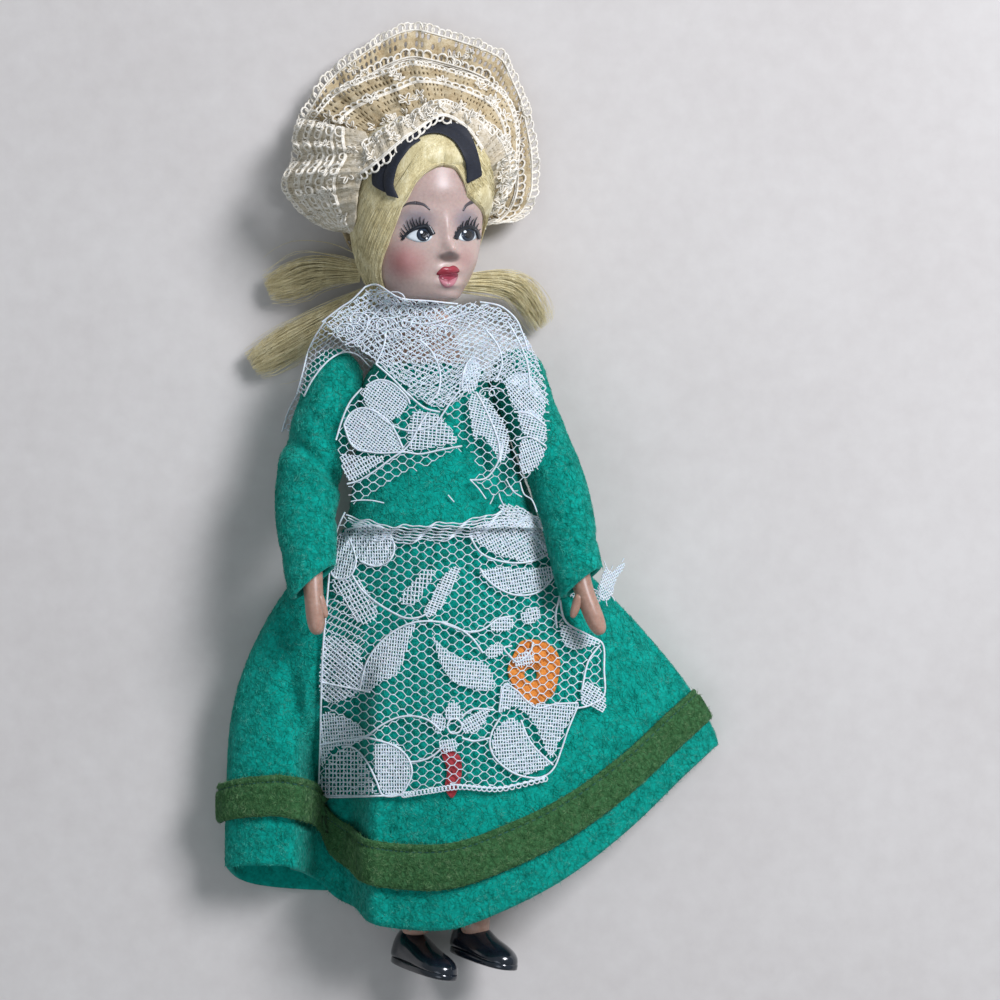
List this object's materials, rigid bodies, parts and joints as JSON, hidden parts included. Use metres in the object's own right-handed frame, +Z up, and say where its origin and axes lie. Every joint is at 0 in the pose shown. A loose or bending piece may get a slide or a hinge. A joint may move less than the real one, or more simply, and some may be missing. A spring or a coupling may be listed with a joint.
{
  "type": "costume doll",
  "caption": "Small costume doll lying on its back in a felt dress, lace apron, shawl and bonnet, with a head that turns and arms that swing at the shoulders.",
  "frame": {"origin": "on the surface that the doll lies on, under the middle of its outline", "axes": "+Y from the shoes to the bonnet, +X to the viewer's right, +Z up from the surface, towards the doll's front"},
  "size_m": [0.0966, 0.1809, 0.0301],
  "materials": {
    "flesh_plastic": "moulded, satin",
    "peg_plastic": "turned",
    "elastic": "covered elastic",
    "shoe_plastic": "gloss paint",
    "green_felt": "pressed wool felt",
    "olive_felt": "pressed wool felt",
    "orange_felt": "pressed wool felt",
    "red_felt": "pressed wool felt",
    "white_lace": "machine net lace",
    "mohair": "combed mohair",
    "straw_lace": "chemical lace edging",
    "black_satin": "woven satin ribbon"
  },
  "bodies": {
    "torso": {"body_front": "flesh_plastic", "body_back": "flesh_plastic", "neck_peg": "peg_plastic", "arm_cord": "elastic", "cord_knots": "elastic", "right_shoe": "shoe_plastic", "left_shoe": "shoe_plastic", "bodice": "green_felt", "skirt": "green_felt", "hem_band": "olive_felt", "lace_apron": "white_lace", "apron_scrap": "white_lace", "orange_bit": "orange_felt", "red_bit": "red_felt", "shawl_front": "white_lace", "shawl_back": "white_lace"},
    "head": {"head_front": "flesh_plastic", "head_back": "flesh_plastic", "hair_cap": "mohair", "right_tuft_upper": "mohair", "right_tuft_lower": "mohair", "left_tuft": "mohair", "bonnet_crown": "straw_lace", "bonnet_brim": "straw_lace", "bonnet_tier": "straw_lace", "bonnet_ruffle": "straw_lace", "bonnet_ribbon": "black_satin"},
    "right_arm": {"right_arm": "flesh_plastic", "right_sleeve": "green_felt"},
    "left_arm": {"left_arm": "flesh_plastic", "left_sleeve": "green_felt"}
  },
  "joints": [
    {"name": "head_turn", "type": "hinge", "parent": "torso", "child": "head", "pos_m": [-0.0085, 0.0383, 0.013], "axis": [0, 1, 0], "range_deg": [-40, 20]},
    {"name": "right_arm_swing", "type": "hinge", "parent": "torso", "child": "right_arm", "pos_m": [-0.026, 0.0225, 0.013], "axis": [-1, 0, 0], "range_deg": [0, 75]},
    {"name": "left_arm_swing", "type": "hinge", "parent": "torso", "child": "left_arm", "pos_m": [0.009, 0.0225, 0.013], "axis": [-1, 0, 0], "range_deg": [0, 75], "deforming": ["shawl_front"]}
  ]
}
